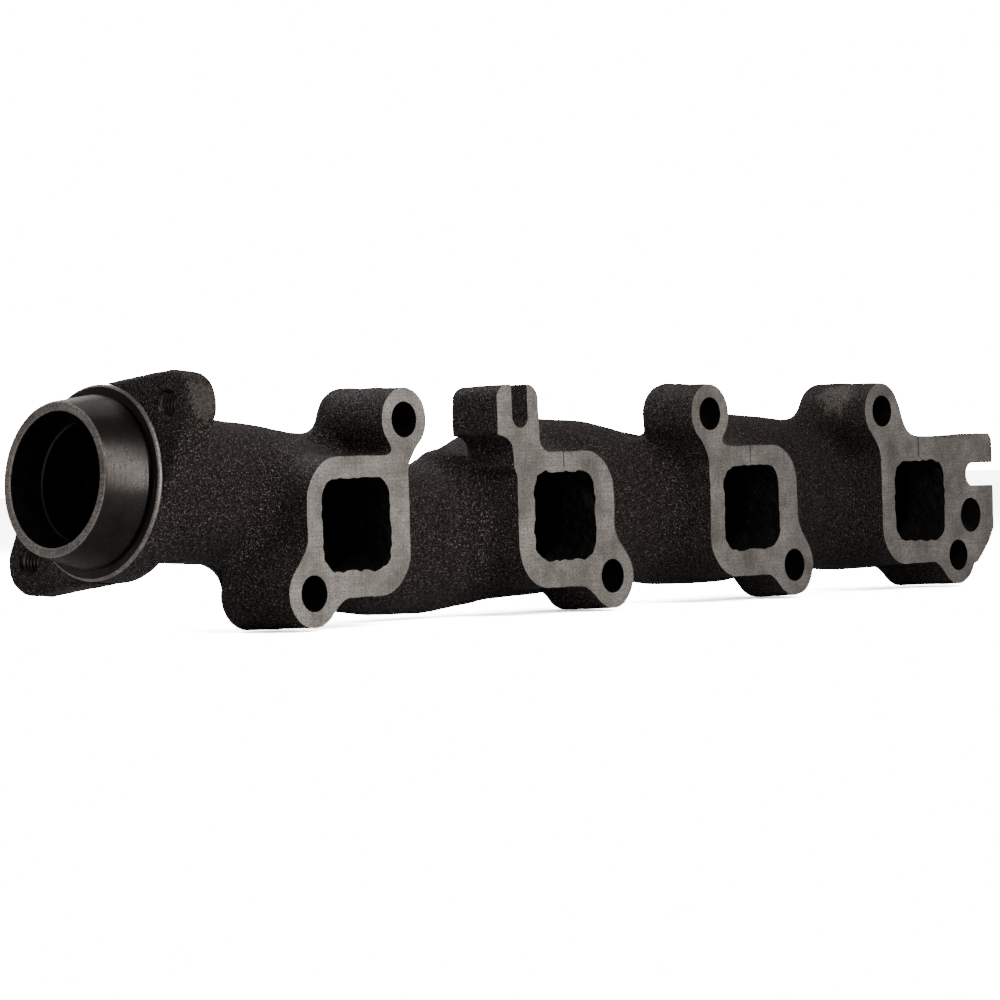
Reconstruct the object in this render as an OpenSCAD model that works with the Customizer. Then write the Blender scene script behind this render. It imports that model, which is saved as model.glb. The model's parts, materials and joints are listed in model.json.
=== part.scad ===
// Cast-iron log exhaust manifold for one bank of a V8 engine.
// The origin is the centre of the first gas port on the machined head face.
// +X runs along the row of ports, +Y runs from the head face into the casting,
// and +Z is up. The head face is the plane y = 0 and faces -Y.

/* [Ports] */
// Distance between neighbouring port centres
port_pitch = 113; // [112:0.5:114]
// Width of each gas opening
port_w = 35; // [32:0.5:36]
// Height of each gas opening
port_h = 33.5; // [31:0.5:34.5]
// Corner radius of each gas opening
port_corner = 8; // [5:0.5:10]

/* [Head face] */
// Thickness of the machined port pads
pad_t = 12; // [8:1:14]
// Radius of the upper bolt bosses at the head face
upper_boss_r = 11.6; // [11.4:0.2:12]
// Radius of the lower bolt bosses at the head face
lower_boss_r = 12.2; // [11.8:0.2:12.4]
// How much wider a boss is at its far end, as draft for moulding
boss_draft = 0.8; // [0.2:0.2:1.4]
// Radius of the head bolt holes
bolt_r = 6.5; // [5.5:0.25:7]
// Width of the open-top bolt slot
slot_w = 8.8; // [7:0.2:10]
// Concave radius where a boss runs into the side of its pad
side_fillet = 8; // [7:0.5:9]
// Concave radius where a boss runs into the top or bottom of its pad
edge_fillet = 6; // [5:0.5:7]
// The same radius above the last port, where the web is a long slope
end_edge_fillet = 17; // [14:1:18]

/* [Log] */
// Wall thickness of the hollow log, neck and runners
wall = 5.5; // [4.5:0.5:6]
// Distance from the head face to the middle of the log
log_y = 46; // [45:0.5:47]
// Half of the log's front-to-back size
log_half_y = 28; // [27:0.5:29]

/* [Outlet] */
// Upward tilt of the outlet axis, in degrees
outlet_tilt = 5; // [3:0.5:7]
// Sideways turn of the outlet axis, in degrees
outlet_yaw = 1.5; // [0:0.5:3]
// Radius of the spigot at its end face
spigot_tip_r = 27.2; // [26.5:0.1:28]
// Radius of the spigot where it meets the land
spigot_base_r = 30.8; // [30:0.1:32]
// Length of the spigot
spigot_len = 18; // [16:0.5:20]
// Radius of the counterbore in the spigot's mouth
mouth_r = 23.8; // [23:0.1:24.2]
// Depth of the counterbore
mouth_depth = 12; // [10:0.5:14]
// Radius of the gas bore behind the counterbore
throat_r = 20.7; // [19.5:0.1:21.5]
// Radius of the turned land
land_r = 34.5; // [34:0.5:36]
// How far the land stands proud of the ears
land_step = 1.5; // [1:0.5:2]
// Thickness of the flange ears
ear_t = 13; // [12:0.5:15]
// Radius of the round end of each ear
ear_r = 12.2; // [11.6:0.2:12.6]
// Radius of each tapped ear hole, at the crests of an M10 thread
ear_hole_r = 4.3; // [4.2:0.05:4.5]

/* [End plate] */
// Distance from the last port centre to the outer edge of the end plate
end_reach = 53; // [51:1:55]
// Height of the open slot in the end plate
end_slot_h = 9.7; // [8:0.1:10]
// Radius of the cast hole in the end plate
cast_hole_r = 7.2; // [6.5:0.1:7.5]
clearance_step = 1.8;

/* [Hidden] */

$fn = 64;
loft_sides = 32;  // corners of each cross-section of the log
past = 1;         // how far a cutter runs past the face that it opens
skin = 0.01;      // thickness of the thin discs that a hull joins
web_sink = 0.03;  // how far the fillets of a web run into its boss
cast = "dimgray";
machined = "darkgray";
turned = "silver";

// Pads: left, right, bottom and top edge of each machined pad, from its port's centre.
// Port 1 has its bosses the other way round, so its values are those of its mirror image.
pads = [
    [-27.5, 25, -26, 24.5],
    [-26.3, 28.5, -27, 24.2],
    [-26, 29.5, -27, 24.7],
    [-26.3, 30, -26.2, 26.8]
];
pad_free_corner = 16;  // radius of the two pad corners that carry no boss

// Bolt holes: x and z from the port's centre, and the depth of the boss behind the face
upper_bolts = [[-25.9, 37.3, 35], [-24.1, 38, 25], [-24.8, 37.7, 26.5], [-24.8, 37.7, 36]];
lower_bolts = [[22.6, -23.8, 37], [26.5, -23.8, 27], [26.5, -23.8, 23], [26.5, -23.8, 34]];

// A boss as [x, z, depth, radius]
function upper(i) = concat(upper_bolts[i], upper_boss_r);
function lower(i) = concat(lower_bolts[i], lower_boss_r);
function flat(b) = [b.x, b.y];
boss_end_round = 4;   // rounding of a boss's far end

// Slotted boss of port 2: the block's half width, its top, its corners and the slot's end
slot_block_half = 11.5;
slot_block_shift = -1.1;  // from the slot's middle to the block's middle
slot_block_top = 49.8;
slot_block_corner = 5.5;
slot_bottom = 33.5;

// Cross-sections of the log, each as [x, top, bottom]. The top rises behind each port,
// where its runner arches over into the log, and falls away towards the next one.
log_sections = [
    [-30, 39.4, -13], [-10, 37.2, -16.5], [10, 34.2, -26], [28, 32, -31.5], [56.5, 24, -35.2],
    [75, 20.5, -35.6], [93, 24.5, -34], [113, 32.5, -31], [140, 38, -29.5], [169.5, 36.8, -29],
    [195, 32.5, -28.3], [212, 28.8, -27.8], [226, 33, -28.6], [250, 38.6, -29],
    [282.5, 37.6, -28.8], [300, 35.6, -27], [320, 32.6, -25.4], [345, 34, -26.4], [370, 30, -26]
];
log_joints = [-30, 56.5, 169.5, 282.5, 370];  // x of the planes where log sections meet
cap_len = 14;    // length of the rounded end cap

// Outlet: centre of the land, and the ear holes as [height, depth] around it
land_pos = [-88, 41.6, 17.7];
ear_holes = [[26.5, -35.2], [-27.3, 35.1]];
neck_root_r = 32.5;     // outer radius of the neck where it leaves the land
spigot_edge = 0.8;    // edge break at the spigot's tip

// End plate: the slot and the cast hole, from the last port's centre
end_slot_x = 32.5;
end_slot_z = 10.2;
cast_hole = [36.3, -7];
end_corner = 3;

function port_x(i) = i * port_pitch;

// ---------- flat outlines, drawn as x and z on the head face ----------

module rounded_box(low, high, r) {
    translate([low.x + r, low.y]) square([high.x - low.x - 2 * r, high.y - low.y]);
    translate([low.x, low.y + r]) square([high.x - low.x, high.y - low.y - 2 * r]);
    for (x = [low.x + r, high.x - r], y = [low.y + r, high.y - r])
        translate([x, y]) circle(r);
}

module port_outline() {
    rounded_box([-port_w / 2, -port_h / 2], [port_w / 2, port_h / 2], port_corner);
}

// A pad with its upper right and lower left corners rounded
module pad_outline(pad) {
    r = pad_free_corner;
    difference() {
        translate([pad[0], pad[2]]) square([pad[1] - pad[0], pad[3] - pad[2]]);
        translate([pad[1] - r, pad[3] - r]) square(r + past);
        translate([pad[0] - past, pad[2] - past]) square(r + past);
    }
    translate([pad[1] - r, pad[3] - r]) circle(r);
    translate([pad[0] + r, pad[2] + r]) circle(r);
}

// The web that joins a round boss at c, above the left edge of a pad, to the pad's left
// side (x = side) and to its top edge (z = edge) through two concave fillets
module web_outline(c, r, side, edge, edge_r = edge_fillet) {
    side_c = [side - side_fillet, c.y - sqrt(pow(r + side_fillet, 2) - pow(side - side_fillet - c.x, 2))];
    edge_c = [c.x + sqrt(pow(r + edge_r, 2) - pow(edge + edge_r - c.y, 2)), edge + edge_r];
    difference() {
        polygon([c, edge_c, [edge_c.x, edge], [side, edge], [side, side_c.y], side_c]);
        translate(side_c) circle(side_fillet);
        translate(edge_c) circle(edge_r);
    }
}

// Children are drawn for ports 2 to 4 as they stand; port 1 is their mirror image
module at_port(i) {
    translate([port_x(i), 0, 0]) mirror([i == 0 ? 1 : 0, 0, 0]) children();
}

// Raises a flat outline into a slab between two depths behind the head face
module slab(y0, y1) {
    translate([0, y1, 0]) rotate([90, 0, 0]) linear_extrude(y1 - y0) children();
}

module drill(c, r, y1) {
    translate([c.x, -past, c.y]) rotate([-90, 0, 0]) cylinder(r = r, h = y1 + 2 * past);
}

// Behind the end plate the cast hole opens out beside the lower boss.
module cast_hole_clearance(depth) {
    drill(cast_hole, cast_hole_r, pad_t);
    translate([0, pad_t, 0]) drill(cast_hole, cast_hole_r + clearance_step, depth);
}

// The round bolt holes of one port, which also nick the log where it passes close behind
module bolt_holes(i) {
    at_port(i) for (b = i == 1 ? [lower(i)] : [upper(i), lower(i)])
        drill(flat(b), bolt_r, b.z);
}

// ---------- the hollow log ----------

function section_ring(s, inset) = [
    for (i = [0 : loft_sides - 1])
        let (a = 360 * i / loft_sides, mid = (s[1] + s[2]) / 2, half = (s[1] - s[2]) / 2)
            [s[0], log_y + (log_half_y - inset) * cos(a), mid + (half - inset) * sin(a)]
];

// A solid through a list of cross-sections, made smaller all round by inset
module loft(sections, inset = 0) {
    n = loft_sides;
    count = len(sections);
    points = [for (s = sections) each section_ring(s, inset)];
    sides = [
        for (k = [0 : count - 2], i = [0 : n - 1]) let (j = (i + 1) % n)
            each [
                [k * n + j, k * n + i, (k + 1) * n + i],
                [k * n + j, (k + 1) * n + i, (k + 1) * n + j]
            ]
    ];
    first = [for (i = [0 : n - 1]) i];
    last = [for (i = [n - 1 : -1 : 0]) (count - 1) * n + i];
    polyhedron(points, concat(sides, [first, last]), convexity = 4);
}

function sections_between(a, b) = [for (s = log_sections) if (s[0] >= a && s[0] <= b) s];

// The same sections with both ends pushed out, for cutting the hollow
function pushed(sections) = [
    for (i = [0 : len(sections) - 1]) let (s = sections[i])
        [s[0] + (i == 0 ? -past : i == len(sections) - 1 ? past : 0), s[1], s[2]]
];

module gas_way(i, y1) {
    at_port(i) slab(-past, y1) port_outline();
}

module log_section(i) {
    sections = sections_between(log_joints[i], log_joints[i + 1]);
    color(cast) difference() {
        loft(sections);
        loft(pushed(sections), wall);
        gas_way(i, log_y);
        bolt_holes(i);
    }
}

// The closed end of the log, domed
module log_end_cap() {
    root = log_sections[len(log_sections) - 1];
    mid = (root[1] + root[2]) / 2;
    half = (root[1] - root[2]) / 2;
    dome = [for (t = [0, 30, 55, 75]) [root[0] + cap_len * sin(t), cos(t)]];
    color(cast) difference() {
        translate([0, log_y, mid]) dome_loft(dome, log_half_y, half);
        translate([0, log_y, mid]) dome_loft([[root[0] - past, 1], [root[0] + cap_len / 3, 0.8]],
            log_half_y - wall, half - wall);
        at_port(3) boss_seats(3);
        bolt_holes(3);
    }
}

// A solid of elliptical rings, each [x, share of the full size]
module dome_loft(rings, half_y, half_z) {
    for (i = [0 : len(rings) - 2])
        hull() for (r = [rings[i], rings[i + 1]])
            translate([r[0], 0, 0]) rotate([90, 0, 90]) linear_extrude(skin)
                scale([half_y * r[1], half_z * r[1]]) circle(1, $fn = loft_sides);
}

// The log as a solid near one port, for parting the pieces that run into it
module log_near(i) {
    loft(sections_between(port_x(i) - port_pitch / 2 - 20, port_x(i) + port_pitch / 2 + 20));
}

// ---------- ports, bosses and end plate ----------

module port_flange(i) {
    color(machined) difference() {
        at_port(i) slab(0, pad_t) difference() {
            pad_outline(pads[i]);
            port_outline();
        }
        at_port(i) boss_seats(i);
        if (i == 3) at_port(i) drill(cast_hole, cast_hole_r, pad_t);
    }
}

module runner(i) {
    color(cast) difference() {
        at_port(i) slab(pad_t, log_y) difference() {
            pad_outline(pads[i]);
            port_outline();
        }
        at_port(i) boss_seats(i);
        if (i == 3) at_port(i) cast_hole_clearance(log_y);
        log_near(i);
    }
}

// The space that a port's round bosses take up, carried on to the middle of the log
module boss_seats(i) {
    for (b = i == 1 ? [lower(i)] : [upper(i), lower(i)])
        translate([b.x, 0, b.y]) rotate([-90, 0, 0])
            cylinder(r1 = b[3], r2 = b[3] + boss_draft * log_y / (b.z - boss_end_round), h = log_y);
}

// A round boss that widens a little towards its rounded far end
module boss_barrel(depth, r) {
    far_r = r + boss_draft;
    rotate([-90, 0, 0]) rotate_extrude() {
        polygon([
            [0, 0], [r, 0], [far_r, depth - boss_end_round],
            [far_r - boss_end_round, depth - boss_end_round], [far_r - boss_end_round, depth], [0, depth]
        ]);
        intersection() {
            translate([far_r - boss_end_round, depth - boss_end_round]) circle(boss_end_round);
            square([far_r, depth]);
        }
    }
}

module upper_web(i) {
    edge_r = i == 3 ? end_edge_fillet : edge_fillet;
    web_outline(flat(upper(i)), upper_boss_r - web_sink, pads[i][0], pads[i][3], edge_r);
}

module lower_web(i) {
    rotate(180) web_outline(-flat(lower(i)), lower_boss_r - web_sink, -pads[i][1], -pads[i][2]);
}

// A drilled boss; its child is the flat outline of its web
module boss(i, b) {
    color(cast) difference() {
        at_port(i) difference() {
            union() {
                translate([b.x, 0, b.y]) boss_barrel(b.z, b[3]);
                slab(0, b.z - boss_end_round) difference() {
                    children();
                    pad_outline(pads[i]);
                }
            }
            drill(flat(b), bolt_r, b.z);
            if (i == 3) cast_hole_clearance(b.z);
        }
        log_near(i);
    }
}

// The upper boss of port 2 is a block with a slot that is open at the top
module slotted_boss() {
    b = upper(1);
    pad = pads[1];
    left = b.x + slot_block_shift - slot_block_half;
    right = b.x + slot_block_shift + slot_block_half;
    hollow_r = pad[0] - left;
    hollow_z = pad[3] - 3.7;
    color(cast) at_port(1) slab(0, b.z) difference() {
        union() {
            rounded_box([left, hollow_z], [right, slot_block_top], slot_block_corner);
            translate([right - past, pad[3] - past]) square([edge_fillet + past, edge_fillet + past]);
        }
        translate([left, hollow_z]) circle(hollow_r);
        translate([right + edge_fillet, pad[3] + edge_fillet]) circle(edge_fillet);
        pad_outline(pad);
        translate([b.x - slot_w / 2, slot_bottom + slot_w / 2]) square([slot_w, slot_block_top]);
        translate([b.x, slot_bottom + slot_w / 2]) circle(slot_w / 2);
    }
}

module end_plate() {
    pad = pads[3];
    b = lower(3);
    color(machined) at_port(3) difference() {
        slab(0, pad_t) difference() {
            polygon([
                [pad[1] - pad_free_corner, pad[3]], [end_reach - end_corner, pad[3] + 0.7],
                [end_reach, pad[3] + 0.7 - end_corner], [end_reach, -13], [end_reach - 4, -19],
                [end_reach - 12, -27], [b.x + 5, -30], [b.x, -20], [pad[1] - pad_free_corner, -10]
            ]);
            pad_outline(pad);
            port_outline();
            translate([end_slot_x + end_slot_h / 2, end_slot_z]) circle(end_slot_h / 2);
            translate([end_slot_x + end_slot_h / 2, end_slot_z - end_slot_h / 2])
                square([end_reach, end_slot_h]);
        }
        boss_seats(3);
        drill(cast_hole, cast_hole_r, pad_t);
    }
}

// ---------- outlet, drawn along its own axis with +Z out of the mouth ----------

module at_outlet() {
    translate(land_pos) rotate([0, outlet_tilt - 90, -outlet_yaw]) children();
}

module outlet_spigot() {
    color(turned) at_outlet() rotate_extrude($fn = 96) polygon([
        [throat_r, 0], [spigot_base_r, 0], [spigot_tip_r + 0.3, spigot_len - spigot_edge],
        [spigot_tip_r - 0.5, spigot_len], [mouth_r, spigot_len],
        [mouth_r, spigot_len - mouth_depth], [throat_r, spigot_len - mouth_depth]
    ]);
}

module outlet_land() {
    color(machined) at_outlet() translate([0, 0, -ear_t - land_step])
        difference() {
            cylinder(r = land_r, h = ear_t + land_step, $fn = 96);
            translate([0, 0, -past]) cylinder(r = throat_r, h = ear_t + land_step + 2 * past);
        }
}

// The tangent points of the two circles that bound an ear
function tangent_turn(h) = acos((land_r - ear_r) / norm(h));

module ear_outline(h) {
    turn = tangent_turn(h);
    aim = atan2(h.y, h.x);
    difference() {
        union() {
            translate(h) circle(ear_r);
            polygon([
                [0, 0],
                land_r * [cos(aim - turn), sin(aim - turn)],
                h + ear_r * [cos(aim - turn), sin(aim - turn)],
                h + ear_r * [cos(aim + turn), sin(aim + turn)],
                land_r * [cos(aim + turn), sin(aim + turn)]
            ]);
        }
        circle(land_r, $fn = 96);
    }
}

module outlet_ear(h) {
    color(cast) at_outlet() translate([0, 0, -ear_t - land_step]) difference() {
        linear_extrude(ear_t) ear_outline(h);
        translate([h.x, h.y, -past]) cylinder(r = ear_hole_r, h = ear_t + 2 * past);
    }
}

// The neck runs from the back of the land to the first section of the log
module neck_form(root_r, inset, over) {
    s = log_sections[0];
    hull() {
        at_outlet() translate([0, 0, -ear_t - land_step - skin])
            cylinder(r = root_r, h = skin + over, $fn = loft_sides);
        translate([s[0] - skin, log_y, (s[1] + s[2]) / 2]) rotate([90, 0, 90])
            linear_extrude(skin + over)
                scale([log_half_y - inset, (s[1] - s[2]) / 2 - inset]) circle(1, $fn = loft_sides);
    }
}

module outlet_neck() {
    color(cast) difference() {
        neck_form(neck_root_r, 0, 0);
        neck_form(throat_r, wall, past);
    }
}

outlet_spigot();
outlet_land();
outlet_ear(ear_holes[0]);  // outlet_ear_upper
outlet_ear(ear_holes[1]);  // outlet_ear_lower
outlet_neck();
log_section(0);  // log_1
log_section(1);  // log_2
log_section(2);  // log_3
log_section(3);  // log_4
log_end_cap();
runner(0);  // runner_1
runner(1);  // runner_2
runner(2);  // runner_3
runner(3);  // runner_4
port_flange(0);  // port_flange_1
port_flange(1);  // port_flange_2
port_flange(2);  // port_flange_3
port_flange(3);  // port_flange_4
boss(0, upper(0)) upper_web(0);  // boss_upper_1
slotted_boss();  // boss_slotted_2
boss(2, upper(2)) upper_web(2);  // boss_upper_3
boss(3, upper(3)) upper_web(3);  // boss_upper_4
boss(0, lower(0)) lower_web(0);  // boss_lower_1
boss(1, lower(1)) lower_web(1);  // boss_lower_2
boss(2, lower(2)) lower_web(2);  // boss_lower_3
boss(3, lower(3)) lower_web(3);  // boss_lower_4
end_plate();
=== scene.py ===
import json
import math

import bmesh
import bpy
import numpy as np
from mathutils import Matrix, Vector


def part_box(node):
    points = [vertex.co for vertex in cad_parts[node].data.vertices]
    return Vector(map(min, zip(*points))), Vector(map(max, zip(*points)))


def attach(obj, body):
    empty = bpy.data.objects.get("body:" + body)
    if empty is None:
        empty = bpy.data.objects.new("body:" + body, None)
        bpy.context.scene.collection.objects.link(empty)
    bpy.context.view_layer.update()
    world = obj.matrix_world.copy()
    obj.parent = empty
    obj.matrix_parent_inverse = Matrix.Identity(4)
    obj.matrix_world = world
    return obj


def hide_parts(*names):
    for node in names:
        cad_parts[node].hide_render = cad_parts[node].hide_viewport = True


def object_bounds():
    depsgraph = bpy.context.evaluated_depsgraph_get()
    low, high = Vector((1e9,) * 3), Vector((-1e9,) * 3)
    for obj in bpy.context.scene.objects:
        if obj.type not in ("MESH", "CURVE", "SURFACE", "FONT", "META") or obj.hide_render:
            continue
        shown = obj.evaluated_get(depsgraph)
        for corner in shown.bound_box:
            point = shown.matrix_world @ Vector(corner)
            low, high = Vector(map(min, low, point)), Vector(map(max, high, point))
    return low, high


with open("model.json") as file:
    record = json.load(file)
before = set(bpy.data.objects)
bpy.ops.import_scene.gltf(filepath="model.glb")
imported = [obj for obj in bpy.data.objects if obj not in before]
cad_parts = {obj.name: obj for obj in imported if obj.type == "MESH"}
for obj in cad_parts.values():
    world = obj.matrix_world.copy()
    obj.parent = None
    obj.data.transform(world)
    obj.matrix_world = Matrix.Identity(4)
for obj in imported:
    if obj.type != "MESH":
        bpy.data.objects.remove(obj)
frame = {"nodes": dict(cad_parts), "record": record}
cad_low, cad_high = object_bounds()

# The manifold is one grey-iron casting with machined faces. Its form is a distance field
# on a grid, in millimetres: negative in the iron, zero on its surface. The field is cut
# into one closed mesh for each CAD node, and all meshes share the points and normals
# along their joints, so that the casting shows no seam.

MM = 0.001
CELL = 1.0  # size of a grid cell
SEED = 7

# ---------- sizes that the CAD model states ----------

MOUNTS = {m["name"]: m for m in frame["record"]["mounts"]}
BODY = "root"
PORTS = (0, 1, 2, 3)


def box_mm(node):
    low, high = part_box(node)
    return np.array(low) / MM, np.array(high) / MM


def mount_mm(name):
    return np.array(MOUNTS[name]["pos_m"]) / MM


PITCH = MOUNTS["upper_bolt_row"]["dims"]["spacing_x_mm"]
PAD_T = box_mm("port_flange_2")[1][1]
BOLT_R = MOUNTS["bolt_hole_lower_1"]["dims"]["r_mm"]
UPPER_R = 11.6
LOWER_R = 12.2
BOSS_DRAFT = 0.8
BOSS_ROUND = 4.0
WALL = 5.5
LOG_Y = 46.0
PORT_HALF = (17.5, 16.75)
PORT_CORNER = 8.0
PAD_CORNER = 16.0
RUNNER_ROUND = 2.0
PLATE_ROUND = 2.5
LOG_FILLET = 9.0  # where runners, bosses and the end plate meet the log
NECK_FILLET = 7.0  # where the outlet's flange meets the neck
OUTLET_END = -18.0  # the outlet's own shapes all lie on the near side of this x
SLOT_END_R = 4.4
END_SLOT_R = 4.85
CUT_DEPTH = PAD_T + 2.5  # the end slot reaches just past the end plate
BLIND_DEPTH = 8.0  # how far holes run on past the iron that they go through
HEAD_FACE_START = -55.0  # the face is milled from here on, clear of the outlet's ears
SIDE_FILLET = 8.0
EDGE_FILLET = (6.0, 6.0, 6.0, 17.0)

LAND_R = 34.5
LAND_STEP = 1.5
EAR_T = 13.0
EAR_R = 12.2
EAR_HOLE_R = MOUNTS["outlet_thread_upper"]["dims"]["r_mm"]
EAR_ROUND = 2.2
THREAD_DEPTH = 0.75
THROAT_R = 20.7
THROAT_LEN = 45.0
LOG_PASSAGE_START = 22.0  # the log's own passage begins this far behind the land
SPIGOT_TIP_R = 27.2
SPIGOT_BASE_R = 30.8
SPIGOT_LEN = 18.0
MOUTH_R = MOUNTS["outlet_bore"]["dims"]["r_mm"]
MOUTH_DEPTH = MOUNTS["outlet_bore"]["dims"]["length_mm"]

# The outlet's own axes: out of the mouth, up, and away from the head face
OUT = np.array(MOUNTS["outlet_bore"]["axis"])
BACK = np.cross(OUT, (0, 0, 1))
BACK = -BACK / np.linalg.norm(BACK)
if BACK[1] < 0:
    BACK = -BACK
UP = np.cross(BACK, OUT)
if UP[2] < 0:
    UP = -UP
LAND = mount_mm("outlet_bore") - OUT * (SPIGOT_LEN - MOUTH_DEPTH / 2)
EAR_MID = LAND_STEP + EAR_T / 2

# ---------- the grid and what is done with fields ----------

margin = 3 * CELL
start = np.array(cad_low) / MM - margin
start[1] = (math.floor(start[1] / CELL) + 0.5) * CELL  # the head face lies halfway through a cell
stop = np.array(cad_high) / MM + margin
axes = [np.arange(start[i], stop[i] + CELL, CELL, dtype=np.float32) for i in range(3)]
X, Y, Z = np.meshgrid(*axes, indexing="ij", sparse=True)
SHAPE = tuple(len(a) for a in axes)


def fillet(a, b, r):
    """Two shapes joined, with a concave round of radius r between them."""
    corner = np.hypot(np.maximum(r - a, 0), np.maximum(r - b, 0))
    return np.maximum(r, np.minimum(a, b)) - corner


def rounded_cut(a, b, r):
    """Where both shapes are, with the edge between them rounded to radius r."""
    return -fillet(-a, -b, r)


def disc(x, z, r):
    return np.hypot(X - x, Z - z) - r


def box_outline(left, right, bottom, top, corners):
    """A rectangle with corner radii listed from the upper right, clockwise."""
    u, v = X - (left + right) / 2, Z - (bottom + top) / 2
    on_right = np.where(v > 0, corners[0], corners[1])
    r = np.where(u > 0, on_right, np.where(v > 0, corners[3], corners[2]))
    du = np.abs(u) - (right - left) / 2 + r
    dv = np.abs(v) - (top - bottom) / 2 + r
    return np.minimum(np.maximum(du, dv), 0) + np.hypot(np.maximum(du, 0), np.maximum(dv, 0)) - r


def polygon_outline(points):
    """The distance to a closed outline of x and z points."""
    nearest, inside = None, np.zeros(np.broadcast(X, Z).shape, bool)
    for (x0, z0), (x1, z1) in zip(points, points[1:] + points[:1]):
        dx, dz = x1 - x0, z1 - z0
        t = np.clip(((X - x0) * dx + (Z - z0) * dz) / (dx * dx + dz * dz), 0, 1)
        gap = np.hypot(X - x0 - t * dx, Z - z0 - t * dz)
        nearest = gap if nearest is None else np.minimum(nearest, gap)
        crosses = (z0 > Z) != (z1 > Z)
        if dz:
            inside = inside ^ (crosses & (X < x0 + (Z - z0) * dx / dz))
    return np.where(inside, -nearest, nearest)


def smooth_curve(x, knots, values):
    """A curve through the values that neither wiggles nor overshoots between them."""
    knots, values = np.array(knots, float), np.array(values, float)
    step = np.diff(values) / np.diff(knots)
    slope = np.zeros(len(knots))
    both = step[:-1] * step[1:] > 0
    slope[1:-1][both] = 2 * step[:-1][both] * step[1:][both] / (step[:-1] + step[1:])[both]
    slope[0], slope[-1] = step[0], step[-1]
    i = np.clip(np.searchsorted(knots, x) - 1, 0, len(knots) - 2)
    h = knots[i + 1] - knots[i]
    t = np.clip((x - knots[i]) / h, 0, 1)
    rise = values[i + 1] - values[i]
    return (values[i] + t * h * slope[i]
            + t * t * (3 * rise - h * (2 * slope[i] + slope[i + 1]))
            + t ** 3 * (h * (slope[i] + slope[i + 1]) - 2 * rise))


def unevenness(size, seed):
    """Soft random swells of about the given size, between -1 and 1."""
    rng = np.random.default_rng(seed)
    spans = []
    for axis in axes:
        place = (axis - axis[0]) / size
        whole = place.astype(int)
        t = place - whole
        t = t * t * (3 - 2 * t)
        weights = np.zeros((len(axis), whole.max() + 2), np.float32)
        weights[np.arange(len(axis)), whole] = 1 - t
        weights[np.arange(len(axis)), whole + 1] = t
        spans.append(weights)
    lattice = rng.uniform(-1, 1, [w.shape[1] for w in spans]).astype(np.float32)
    out = np.tensordot(spans[0], lattice, (1, 0))
    out = np.tensordot(spans[1], out, (1, 1)).transpose(1, 0, 2)
    return np.tensordot(out, spans[2], (2, 1))


# ---------- the log and the neck ----------

# Middle, half width, top and bottom of the log at stations along it. The top rises behind
# each port, where the runner arches over into the log.
STATIONS = [
    # x, middle y, half y, top, bottom
    (-100, 41.5, 26.6, 45.2, -8.0), (-74, 41.2, 26.6, 43.2, -10.0), (-58, 41.5, 26.6, 42.0, -11.3),
    (-44, 43.5, 27.2, 41.0, -12.2), (-30, 46, 28, 39.4, -13), (-10, 46, 28, 37.2, -16.5),
    (10, 46, 28, 34.2, -26), (28, 46, 28, 32, -31.5), (56.5, 46, 28, 24, -35.2),
    (75, 46, 28, 20.5, -35.6), (93, 46, 28, 24.5, -34), (113, 46, 28, 32.5, -31),
    (140, 46, 28, 38, -29.5), (169.5, 46, 28, 36.8, -29), (195, 46, 28, 32.5, -28.3),
    (212, 46, 28, 28.8, -27.8), (226, 46, 28, 33, -28.6), (250, 46, 28, 38.6, -29),
    (282.5, 46, 28, 37.6, -28.8), (300, 46, 28, 35.6, -27), (320, 46, 28, 32.6, -25.4),
    (345, 46, 28, 34, -26.4), (370, 46, 28, 30, -26),
]
LOG_END = 370.0
CAP_LEN = 14.0


def log_field():
    columns = list(zip(*STATIONS))
    mid_y, half_y, top, bottom = [
        smooth_curve(X, columns[0], column).astype(np.float32) for column in columns[1:]
    ]
    mid_z, half_z = (top + bottom) / 2, (top - bottom) / 2
    u, v = (Y - mid_y) / half_y, (Z - mid_z) / half_z
    w = np.maximum(X - LOG_END, 0) / CAP_LEN
    q = np.sqrt(u * u + v * v + w * w) + 1e-6
    slope = np.sqrt((u / half_y) ** 2 + (v / half_z) ** 2 + (w / CAP_LEN) ** 2) + 1e-6
    return (q - 1) * q / slope


# ---------- ports, bosses and the end plate ----------


def bolt(name):
    """x, z and depth of a bolt hole."""
    m = MOUNTS[name]
    return m["pos_m"][0] / MM, m["pos_m"][2] / MM, m["dims"]["length_mm"]


def pad_outline(i):
    low, high = box_mm(f"port_flange_{i + 1}")
    small = 1.0
    corners = (PAD_CORNER, small, PAD_CORNER, small) if i else (small, PAD_CORNER, small, PAD_CORNER)
    return box_outline(low[0], high[0], low[2], high[2], corners)


def boss_fields(i, pad):
    """The bosses of one port, each with the web that joins it to the pad, as {node: field}."""
    low, high = box_mm(f"port_flange_{i + 1}")
    made = {}
    for side in ("upper", "lower"):
        if (i, side) == (1, "upper"):
            continue
        x, z, depth = bolt(f"bolt_hole_{side}_{i + 1}")
        r = UPPER_R if side == "upper" else LOWER_R
        edge_r = EDGE_FILLET[i] if side == "upper" else EDGE_FILLET[0]
        edge_z = high[2] if side == "upper" else low[2]
        side_x = low[0] if abs(x - low[0]) < abs(x - high[0]) else high[0]
        # above the line from the boss to the pad's corner the web meets the pad's long edge
        away = np.abs(X - x) * np.sign((X - x) * (i * PITCH - x)) * abs(z - edge_z)
        along = np.abs(Z - z) * np.sign((Z - z) * -z) * abs(x - side_x)
        barrel = disc(x, z, r)
        flat = np.where(away > along, fillet(pad, barrel, edge_r), fillet(pad, barrel, SIDE_FILLET))
        draft = BOSS_DRAFT * np.clip(Y / (depth - BOSS_ROUND), 0, 1)
        made[f"boss_{side}_{i + 1}"] = rounded_cut(flat - draft, Y - depth, BOSS_ROUND)
    return made


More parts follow.
